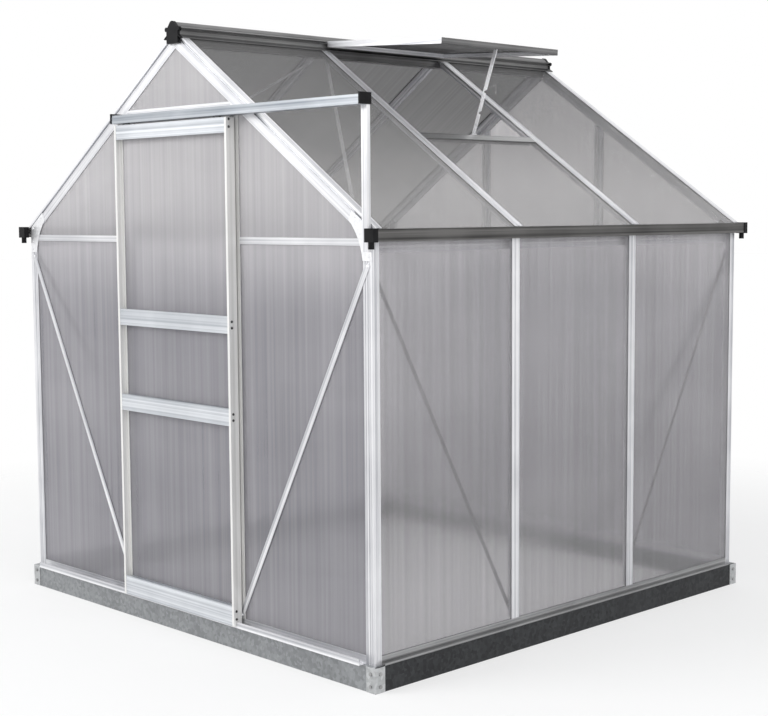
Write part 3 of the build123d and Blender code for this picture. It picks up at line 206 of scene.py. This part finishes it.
# Rise: a smooth ramp up the height, which the sheets use for a painted gradient of light, shade and reflection
place = flutes.nodes.new("ShaderNodeSeparateXYZ")
flutes.links.new(ins.outputs["Coord"], place.inputs[0])
rise = addNode(flutes, "ShaderNodeMapRange", interpolation_type="SMOOTHSTEP")
flutes.links.new(place.outputs[2], rise.inputs["Value"])
flutes.links.new(ins.outputs["Low"], rise.inputs["From Min"])
flutes.links.new(ins.outputs["High"], rise.inputs["From Max"])
flutes.links.new(rise.outputs[0], outs.inputs["Rise"])
print("groups made")


def newMaterial(name):
    mat = bpy.data.materials.new(name)
    mat.use_nodes = True
    tree = mat.node_tree
    return mat, tree, tree.nodes["Principled BSDF"]


def groupNode(tree, group, coord="Object"):
    node = addNode(tree, "ShaderNodeGroup", node_tree=group)
    where = tree.nodes.new("ShaderNodeTexCoord")
    tree.links.new(where.outputs[coord], node.inputs[0])
    return node, where


def bumped(tree, shader, height, strength, distance):
    bump = addNode(tree, "ShaderNodeBump", Strength=strength, Distance=distance)
    tree.links.new(height, bump.inputs["Height"])
    tree.links.new(bump.outputs[0], shader.inputs["Normal"])


def surfaceMaterial(name, group, look, along=None):
    mat, tree, shader = newMaterial(name)
    node, where = groupNode(tree, group)
    if along:
        node.inputs["Along"].default_value = along
    shader.inputs["Metallic"].default_value = look["metallic"]
    shader.inputs["Specular IOR Level"].default_value = look.get("gloss", 0.5)
    shade = tinted(tree, node.outputs["Tone"], look["dark"], look["light"])
    if "pale" in look:
        # up to paleTo, along z or the axis given, the same bar is left pale; the pale and the dark part are lit and
        # shaded copies of one colour, painted light and shade
        spot = tree.nodes.new("ShaderNodeSeparateXYZ")
        tree.links.new(where.outputs["Object"], spot.inputs[0])
        zone = spread(tree, spot.outputs[look.get("paleAxis", 2)], 1.0, 0.0, look["paleTo"] - 0.002, look["paleTo"])
        twoTone = addNode(tree, "ShaderNodeMix", data_type="RGBA")
        tree.links.new(zone, twoTone.inputs[0])
        tree.links.new(shade, twoTone.inputs[6])
        tree.links.new(tinted(tree, node.outputs["Tone"], *look["pale"]), twoTone.inputs[7])
        shade = twoTone.outputs[2]
    tree.links.new(shade, shader.inputs["Base Color"])
    tree.links.new(maths(tree, "ADD", node.outputs["Rough"], look["rough"]), shader.inputs["Roughness"])
    bumped(tree, shader, node.outputs["Height"], look["bump"], look["depth"])
    return mat


# Aluminium: the same bright mill finish, with its die lines along each direction that bars run in
runs = dict(up=(0, 0, 1), across=(1, 0, 0), long=(0, 1, 0), slope=(cosP, 0, -sinP), brace=(0.4675, 0, 0.884),
            even=(0, 0, 0))
aluminium = dict(metallic=0.7, dark=(0.45, 0.455, 0.485), light=(0.87, 0.87, 0.885), rough=0.36,
                 bump=0.25, depth=0.0004)
bright = (aluminium["dark"], aluminium["light"])
metalUp = surfaceMaterial("aluminiumUp", drawn, aluminium, runs["up"])
metalAcross = surfaceMaterial("aluminiumAcross", drawn, aluminium, runs["across"])
metalLong = surfaceMaterial("aluminiumLong", drawn, aluminium, runs["long"])
metalSlope = surfaceMaterial("aluminiumSlope", drawn, aluminium, runs["slope"])
metalBrace = surfaceMaterial("aluminiumBrace", drawn, aluminium, runs["brace"])
plate = dict(aluminium, dark=(0.76, 0.765, 0.78))
metalEven = surfaceMaterial("aluminiumEven", drawn, plate, runs["even"])
# Door post and stiles: a lighter, less metallic copy of the aluminium, painted light on their sides that sit in the
# door's shadow
stileMetal = dict(aluminium, metallic=0.3, dark=(0.74, 0.735, 0.715), light=(0.89, 0.885, 0.87))
metalStile = surfaceMaterial("aluminiumStile", drawn, stileMetal, runs["up"])
# Side braces: a dark copy of the aluminium, painted shade on braces that stand inside the house
innerMetal = dict(aluminium, dark=(0.16, 0.16, 0.165), light=(0.28, 0.28, 0.285))
metalInner = surfaceMaterial("aluminiumInner", drawn, innerMetal, runs["even"])

# Door track and rails: the mill finish painted greyer and bluer, a painted reflection and shade, and streakier
trackShadeAndSheen = dict(aluminium, dark=(0.24, 0.265, 0.3), light=(0.55, 0.575, 0.605))
metalTrackShadeAndSheen = surfaceMaterial("aluminiumTrackShadeAndSheen", drawn, trackShadeAndSheen, runs["across"])
railMetal = dict(aluminium, dark=(0.44, 0.465, 0.5), light=(0.76, 0.78, 0.81))
metalRail = surfaceMaterial("aluminiumRail", drawn, railMetal, runs["across"])

# Side sills, ridge and gutters: darker bars. The right side sill's grey is a painted shade; the left one, below x
# 0.2, stays bright aluminium.
greyMetal = dict(aluminium, dark=(0.2, 0.2, 0.205), light=(0.42, 0.42, 0.425), paleAxis=0, paleTo=0.2, pale=bright)
metalGrey = surfaceMaterial("aluminiumGrey", drawn, greyMetal, runs["long"])
ridgeMetal = dict(metallic=0.6, dark=(0.06, 0.06, 0.062), light=(0.24, 0.238, 0.238), rough=0.4,
                  bump=0.25, depth=0.0004)
metalRidge = surfaceMaterial("aluminiumRidge", drawn, ridgeMetal, runs["long"])
# The gutters' eave leg below z 1.327 is left bright aluminium: painted light where the leg sits in the gutter's
# shade
gutterMetal = dict(ridgeMetal, dark=(0.02, 0.0195, 0.019), light=(0.14, 0.136, 0.133), paleTo=1.327, pale=bright)
metalGutter = surfaceMaterial("aluminiumGutter", drawn, gutterMetal, runs["long"])

# Base: galvanised channel, with paler brackets; the right side rail's outer face is painted dark, a painted shade
zinc = dict(metallic=0.6, dark=(0.22, 0.228, 0.235), light=(0.32, 0.33, 0.34), rough=0.46, bump=0.08, depth=0.0006)
galvanised = surfaceMaterial("galvanised", spangle, zinc)
zincPaintedShade = dict(zinc, dark=(0.03, 0.031, 0.033), light=(0.05, 0.052, 0.055), rough=0.5, gloss=0.3,
                paleAxis=0, paleTo=0.94, pale=(zinc["dark"], zinc["light"]))
galvanisedPaintedShade = surfaceMaterial("galvanisedPaintedShade", spangle, zincPaintedShade)
bracketZinc = dict(zinc, dark=(0.4, 0.41, 0.415), light=(0.54, 0.55, 0.555))
galvanisedPale = surfaceMaterial("galvanisedPale", spangle, bracketZinc)

plastic = dict(metallic=0.0, dark=(0.004, 0.004, 0.005), light=(0.011, 0.011, 0.012), rough=0.42, gloss=0.12,
               bump=0.12, depth=0.0002)
blackPlastic = surfaceMaterial("blackPlastic", grain, plastic)

zincBolt = dict(metallic=0.9, dark=(0.3, 0.3, 0.3), light=(0.52, 0.52, 0.52), rough=0.34, bump=0.1, depth=0.0002)
boltSteel = surfaceMaterial("boltSteel", grain, zincBolt)
darkScrew = dict(zincBolt, dark=(0.05, 0.05, 0.05), light=(0.12, 0.12, 0.12))
screwSteel = surfaceMaterial("screwSteel", grain, darkScrew)

finishes = {
    metalUp: ["corner_posts_front", "corner_posts_rear", "side_studs_left", "side_studs_right", "door_post_left",
              "rear_studs", "track_strut"],
    metalStile: ["door_post_right", "door_stiles"],
    metalAcross: ["sill_front", "sill_rear", "front_transoms", "rear_transoms", "door_head_rail", "vent_side_rails"],
    metalSlope: ["rafters_front", "rafters_rear", "roof_bars_left", "roof_bars_right"],
    metalTrackShadeAndSheen: ["door_track"],
    metalRail: ["door_top_rail", "door_mid_rails", "door_bottom_rail"],
    metalLong: ["vent_top_rail"],
    metalGrey: ["side_sills", "vent_sill"],
    metalRidge: ["ridge_bar", "vent_bottom_rail"],
    metalGutter: ["gutter_left", "gutter_right"],
    metalInner: ["side_braces"],
    metalBrace: ["front_braces", "rear_braces"],
    metalEven: ["roof_braces", "gussets", "vent_stay", "vent_peg_bracket", "frame_rivets"],
    galvanised: ["base_rails_end", "door_hangers"],
    galvanisedPaintedShade: ["base_rails_side"],
    galvanisedPale: ["base_corner_brackets"],
    blackPlastic: ["ridge_end_caps", "gutter_end_caps", "track_end_caps", "door_glides"],
    boltSteel: ["base_bolts", "door_roller_left", "door_roller_right"],
    screwSteel: ["door_screws"],
}
for mat, names in finishes.items():
    for name in names:
        mesh = nodes[name].data
        mesh.materials.clear()
        mesh.materials.append(mat)
print("finishes set")


# Twin-wall sheets: tone goes from dark to light along the span, a painted gradient of light, shade and reflection,
# mottled by streaks and by haze that is partly a painted reflection; walls, gables, roof slopes and vent are copies
# of one sheet set apart by painted light and shade
def sheetMaterial(name, look):
    mat, tree, shader = newMaterial(name)
    node, where = groupNode(tree, flutes, "UV")
    tree.links.new(where.outputs["Object"], node.inputs["Coord"])
    node.inputs["Low"].default_value, node.inputs["High"].default_value = look["span"]
    node.inputs["Streak"].default_value = look["streak"]
    tone = shares(tree, (node.outputs["Tone"], look["mottle"]), (node.outputs["Rise"], 1.0 - look["mottle"]))
    shade = tinted(tree, tone, look["dark"], look["light"])
    if look["ribTint"]:
        ribbed = addNode(tree, "ShaderNodeMix", data_type="RGBA")
        ribbed.inputs[7].default_value = (*look["rib"], 1)
        tree.links.new(shade, ribbed.inputs[6])
        tree.links.new(maths(tree, "MULTIPLY", node.outputs["Rib"], look["ribTint"]), ribbed.inputs[0])
        shade = ribbed.outputs[2]
    tree.links.new(shade, shader.inputs["Base Color"])
    tree.links.new(maths(tree, "ADD", node.outputs["Rough"], look["rough"]), shader.inputs["Roughness"])
    shader.inputs["Alpha"].default_value = look["alpha"]
    if look["toneAlpha"] or look["ribAlpha"]:
        cover = maths(tree, "ADD", maths(tree, "MULTIPLY", node.outputs["Tone"], look["toneAlpha"]), look["alpha"])
        cover = maths(tree, "ADD", cover, maths(tree, "MULTIPLY", node.outputs["Rib"], look["ribAlpha"]))
        tree.links.new(cover, shader.inputs["Alpha"])
    shader.inputs["Specular IOR Level"].default_value = look["gloss"]
    shader.inputs["Transmission Weight"].default_value = look["through"]
    shader.inputs["IOR"].default_value = look["ior"]
    if look["bump"]:
        bumped(tree, shader, node.outputs["Height"], look["bump"], flutePattern["bumpDepth"])
    return mat


# Walls: lighter towards the top, painted light against the gutter's shadow
wallLook = dict(dark=(0.6, 0.59, 0.605), light=(0.89, 0.88, 0.895), rib=(0.9, 0.9, 0.91), ribTint=0.08,
                rough=0.2, gloss=0.3, bump=0.02, span=(0.3, 1.4), mottle=0.65, streak=0.6,
                alpha=0.94, toneAlpha=0.02, ribAlpha=0.02, through=0.86, ior=1.25)
wallSheet = sheetMaterial("wallSheet", wallLook)
# Gables and door: darker lower down and lighter up high, a painted reflection
gableLook = dict(wallLook, dark=(0.355, 0.35, 0.38), light=(0.93, 0.91, 0.92), span=(1.02, 1.58),
                 mottle=0.3, through=0.6)
gableSheet = sheetMaterial("gableSheet", gableLook)
# Right roof slope: darker than the walls and darker up toward the ridge, a painted reflection
roofLook = dict(wallLook, dark=(0.19, 0.188, 0.19), light=(0.55, 0.54, 0.532), ribTint=0.0,
                rough=0.42, gloss=0.0, bump=0.0, span=(1.9, 1.36), mottle=0.25, streak=0.5,
                alpha=0.36, toneAlpha=0.0, ribAlpha=0.0, through=0.2, ior=1.05)
roofSheet = sheetMaterial("roofSheet", roofLook)
# Left roof slope: a darker copy of the roof sheet, painted shade on the slope seen from under it
leftLook = dict(roofLook, dark=(0.11, 0.11, 0.112), light=(0.5, 0.49, 0.495), alpha=0.73, through=0.4)
leftSheet = sheetMaterial("leftRoofSheet", leftLook)
# Vent pane: a dark copy of the roof sheet, painted shade on its shaded underside
ventLook = dict(roofLook, dark=(0.08, 0.08, 0.082), light=(0.2, 0.197, 0.196), alpha=0.78, mottle=0.6)
ventSheet = sheetMaterial("ventSheet", ventLook)

sheet = dict(thick=0.004, inset=0.0023, pitch=0.006, steps=4, sag=0.00004)


def slab(low, high, across, place):
    # a thin closed slab: columns every quarter pitch, from low(u) to high(u), on two faces a thickness apart;
    # each face is offset inward by sag * sin^2 between the ribs
    count = max(2, int(round((across[1] - across[0]) / sheet["pitch"] * sheet["steps"])))
    u = np.linspace(across[0], across[1], count + 1)
    if across[0] < 0 < across[1]:
        u[np.argmin(np.abs(u))] = 0.0
    sag = sheet["sag"] * np.sin(np.pi * (u - across[0]) / sheet["pitch"]) ** 2
    bottom, top = low(u), high(u)
    rows = []
    for face, sign in ((sheet["thick"], -1), (0.0, 1)):
        for end in (bottom, top):
            rows.append(np.stack([u, end, face + sign * sag], axis=1))
    flat = np.concatenate(rows)
    n = count + 1
    i = np.arange(count)
    outer = np.stack([i, i + 1, i + 1 + n, i + n], axis=1)
    inner = np.stack([i + 2 * n, i + 3 * n, i + 1 + 3 * n, i + 1 + 2 * n], axis=1)
    foot = np.stack([i + 2 * n, i + 1 + 2 * n, i + 1, i], axis=1)
    head = np.stack([i + n, i + 1 + n, i + 1 + 3 * n, i + 3 * n], axis=1)
    ends = np.array([[0, n, 3 * n, 2 * n], [count, count + 2 * n, count + 3 * n, count + n]])
    faces = np.concatenate([outer, inner, foot, head, ends])
    origin, right, up, out = (np.array(v) for v in place)
    points = origin + flat[:, :1] * right + flat[:, 1:2] * up + flat[:, 2:] * out
    return points, faces, flat[:, :2]


def joinSheets(name, slabs, body, mat):
    points = np.concatenate([s[0] for s in slabs])
    starts = np.cumsum([0] + [len(s[0]) for s in slabs[:-1]])
    faces = np.concatenate([s[1] + start for s, start in zip(slabs, starts)])
    flat = np.concatenate([s[2] for s in slabs])
    mesh = bpy.data.meshes.new(name)
    mesh.vertices.add(len(points))
    mesh.vertices.foreach_set("co", points.astype(np.float32).ravel())
    mesh.loops.add(faces.size)
    mesh.loops.foreach_set("vertex_index", faces.astype(np.int32).ravel())
    mesh.polygons.add(len(faces))
    mesh.polygons.foreach_set("loop_start", np.arange(0, faces.size, 4, dtype=np.int32))
    mesh.update(calc_edges=True)
    layer = mesh.uv_layers.new(name="sheetMetres")
    layer.data.foreach_set("uv", flat[faces.ravel()].astype(np.float32).ravel())
    mesh.validate()
    mesh.shade_flat()
    mesh.materials.append(mat)
    obj = bpy.data.objects.new(name, mesh)
    scene.collection.objects.link(obj)
    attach(obj, body)
    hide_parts(name.replace("Visual", ""))


def level(value):
    return lambda u: np.full_like(u, value)


# Each place is an origin on a sheet's inner face, then its directions across, up and out
depth = sheet["inset"] + sheet["thick"]
frontPlace = ((0, -house["halfY"] + depth, 0), (1, 0, 0), (0, 0, 1), (0, -1, 0))
rearPlace = ((0, house["halfY"] - depth, 0), (-1, 0, 0), (0, 0, 1), (0, 1, 0))
rightPlace = ((house["halfX"] - depth, 0, 0), (0, 1, 0), (0, 0, 1), (1, 0, 0))
leftPlace = ((-house["halfX"] + depth, 0, 0), (0, -1, 0), (0, 0, 1), (-1, 0, 0))
rightSlope = ((-depth * sinP, 0, house["apex"] - depth * cosP), (0, -1, 0), (-cosP, 0, sinP), (sinP, 0, cosP))
leftSlope = ((depth * sinP, 0, house["apex"] - depth * cosP), (0, 1, 0), (cosP, 0, sinP), (-sinP, 0, cosP))

# Gables
gable = dict(foot=0.0795, lowerTop=1.3215, upperFoot=1.3305, inner=0.3105, edge=0.9055, upperEdge=0.9015,
             apexFoot=1.7565, apexHalf=0.2845, underRoof=0.0265)
bays = dict(edge=0.9065, inner=0.3105, middle=0.2955, wallTop=1.3275)
middleBay = (-bays["middle"], bays["middle"])


def underRoof(u):
    return roofHeight(u, gable["underRoof"])


def gableSlabs(place):
    made = []
    for sign in (-1, 1):
        across = sorted((sign * gable["inner"], sign * gable["edge"]))
        made.append(slab(level(gable["foot"]), level(gable["lowerTop"]), across, place))
        across = sorted((sign * gable["inner"], sign * gable["upperEdge"]))
        made.append(slab(level(gable["upperFoot"]), underRoof, across, place))
    return made


frontSlabs = gableSlabs(frontPlace)
frontSlabs.append(slab(level(gable["apexFoot"]), underRoof, (-gable["apexHalf"], gable["apexHalf"]), frontPlace))
joinSheets("front_wall_panelsVisual", frontSlabs, "frame", gableSheet)
rearSlabs = gableSlabs(rearPlace)
rearSlabs.append(slab(level(gable["foot"]), level(gable["lowerTop"]), middleBay, rearPlace))
rearSlabs.append(slab(level(gable["upperFoot"]), underRoof, middleBay, rearPlace))
joinSheets("rear_wall_panelsVisual", rearSlabs, "frame", gableSheet)

# Side walls and roof slopes, three bays each; the vent is over the middle bay on the right
sides = [(-bays["edge"], -bays["inner"]), middleBay, (bays["inner"], bays["edge"])]
for name, place in (("right_wall_panelsVisual", rightPlace), ("left_wall_panelsVisual", leftPlace)):
    made = [slab(level(gable["foot"]), level(bays["wallTop"]), span, place) for span in sides]
    joinSheets(name, made, "frame", wallSheet)
roofEnds = dict(top=-0.0315, foot=-1.1429, underVent=-0.6045)  # along the slope from the apex line
for name, place, tops, mat in (
    ("right_roof_panelsVisual", rightSlope, ("top", "underVent", "top"), roofSheet),
    ("left_roof_panelsVisual", leftSlope, ("top", "top", "top"), leftSheet),
):
    made = [slab(level(roofEnds["foot"]), level(roofEnds[t]), span, place) for span, t in zip(sides, tops)]
    joinSheets(name, made, "frame", mat)

# Door panes
door = dict(inner=-0.9387, half=0.2995, rows=((0.1375, 0.7465), (0.7795, 1.0425), (1.0755, 1.6755)))
doorPlace = ((0, door["inner"], 0), (1, 0, 0), (0, 0, 1), (0, -1, 0))
made = [slab(level(low), level(high), (-door["half"], door["half"]), doorPlace) for low, high in door["rows"]]
joinSheets("door_panesVisual", made, "door", gableSheet)

# Vent pane, propped open from the slope about its bead in the ridge bar
vent = dict(tilt=math.radians(30.7 - 34.2), bead=(0.031919, 0, 2.012109), drop=0.002, half=0.2945,
            near=-0.0145, far=-0.5695)
ventAlong = Vector((math.cos(vent["tilt"]), 0, math.sin(vent["tilt"])))
ventUp = Vector((-math.sin(vent["tilt"]), 0, math.cos(vent["tilt"])))
ventPlace = (Vector(vent["bead"]) - ventUp * vent["drop"], (0, -1, 0), -ventAlong, ventUp)
made = [slab(level(vent["far"]), level(vent["near"]), (-vent["half"], vent["half"]), ventPlace)]
joinSheets("vent_paneVisual", made, "vent", ventSheet)
print("sheets built")


# Floor, background and soft light
def seenRay(tree):
    # 1 for what the camera sees, directly, mirrored or through a sheet; 0 for light that falls on the object
    path = tree.nodes.new("ShaderNodeLightPath")
    seen = maths(tree, "ADD", path.outputs["Is Camera Ray"], path.outputs["Is Glossy Ray"])
    seen = maths(tree, "ADD", seen, path.outputs["Is Transmission Ray"])
    return maths(tree, "MINIMUM", seen, 1.0)


floorLook = dict(half=40, patches=3.0, dark=(0.9, 0.9, 0.9), light=(0.93, 0.93, 0.93), rough=0.9, fade=(1.9, 3.6),
                 glowInside=0.12, glowOutside=0.6, walls=(0.88, 0.94))
half = floorLook["half"]
floorMesh = bpy.data.meshes.new("floor")
floorMesh.from_pydata([(-half, -half, 0), (half, -half, 0), (half, half, 0), (-half, half, 0)], [], [(0, 1, 2, 3)])
floor = bpy.data.objects.new("floor", floorMesh)
scene.collection.objects.link(floor)
floorMat, tree, shader = newMaterial("paleFloor")
floorMesh.materials.append(floorMat)
where = tree.nodes.new("ShaderNodeTexCoord")
patches = noise(tree, where.outputs["Object"], floorLook["patches"])
tree.links.new(tinted(tree, patches, floorLook["dark"], floorLook["light"]), shader.inputs["Base Color"])
shader.inputs["Roughness"].default_value = floorLook["rough"]
# the floor fades out away from the object, and keeps near white wherever it is looked at outside the house; inside
# the house's footprint the glow drops to glowInside, a painted shade on the ground under the greenhouse
reach = addNode(tree, "ShaderNodeVectorMath", operation="LENGTH")
tree.links.new(where.outputs["Object"], reach.inputs[0])
tree.links.new(spread(tree, reach.outputs["Value"], 1.0, 0.0, *floorLook["fade"]), shader.inputs["Alpha"])
spot = tree.nodes.new("ShaderNodeSeparateXYZ")
tree.links.new(where.outputs["Object"], spot.inputs[0])
aside = maths(tree, "MAXIMUM", *(maths(tree, "ABSOLUTE", spot.outputs[axis]) for axis in (0, 1)))
glowShare = spread(tree, aside, floorLook["glowInside"], floorLook["glowOutside"], *floorLook["walls"])
glow = addNode(tree, "ShaderNodeEmission", Strength=1.0)
blend = tree.nodes.new("ShaderNodeMixShader")
tree.links.new(maths(tree, "MULTIPLY", seenRay(tree), glowShare), blend.inputs[0])
tree.links.new(shader.outputs[0], blend.inputs[1])
tree.links.new(glow.outputs[0], blend.inputs[2])
tree.links.new(blend.outputs[0], tree.nodes["Material Output"].inputs["Surface"])

studio = dict(light=(0.5, 0.51, 0.52), seen=(1.0, 1.0, 1.0))
world = bpy.data.worlds.new("studio")
scene.world = world
world.use_nodes = True
tree = world.node_tree
back = tree.nodes["Background"]
tree.links.new(tinted(tree, seenRay(tree), studio["light"], studio["seen"]), back.inputs["Color"])
back.inputs["Strength"].default_value = 1.0


def softLight(name, place, aim, size, power):
    lamp = bpy.data.lights.new(name, "AREA")
    lamp.shape = "RECTANGLE"
    lamp.size = lamp.size_y = size
    lamp.energy = power
    obj = bpy.data.objects.new(name, lamp)
    obj.location = place
    obj.rotation_euler = (Vector(aim) - Vector(place)).to_track_quat("-Z", "Y").to_euler()
    scene.collection.objects.link(obj)


lamps = [
    dict(name="key", place=(-2.5, -6.0, 4.5), aim=(0, 0, 0.9), size=4.0, power=285),
    dict(name="fill", place=(6.5, -1.5, 3.5), aim=(0, 0, 0.9), size=4.0, power=170),
    dict(name="top", place=(0.0, 0.5, 7.0), aim=(0, 0, 0.5), size=5.0, power=70),
]
for lamp in lamps:
    softLight(**lamp)
print("studio lit")

# Camera at the photograph's viewing angle, in metres, degrees and millimetres
view = dict(place=(4.0845, -3.9127, 1.4101), azimuth=46.148, pitch=5.5, roll=-0.384, lens=70.691, sensor=36.0)
az, pitch, roll = (math.radians(view[k]) for k in ("azimuth", "pitch", "roll"))
look = Vector((-math.sin(az) * math.cos(pitch), math.cos(az) * math.cos(pitch), -math.sin(pitch)))
right = Vector((math.cos(az), math.sin(az), 0))
up = right.cross(look)
right, up = right * math.cos(roll) + up * math.sin(roll), up * math.cos(roll) - right * math.sin(roll)
camData = bpy.data.cameras.new("photoView")
camData.lens = view["lens"]
camData.sensor_width = view["sensor"]
camera = bpy.data.objects.new("photoView", camData)
camera.matrix_world = Matrix((
    (right.x, up.x, -look.x, view["place"][0]),
    (right.y, up.y, -look.y, view["place"][1]),
    (right.z, up.z, -look.z, view["place"][2]),
    (0, 0, 0, 1),
))
scene.collection.objects.link(camera)
scene.camera = camera

print("scene done")
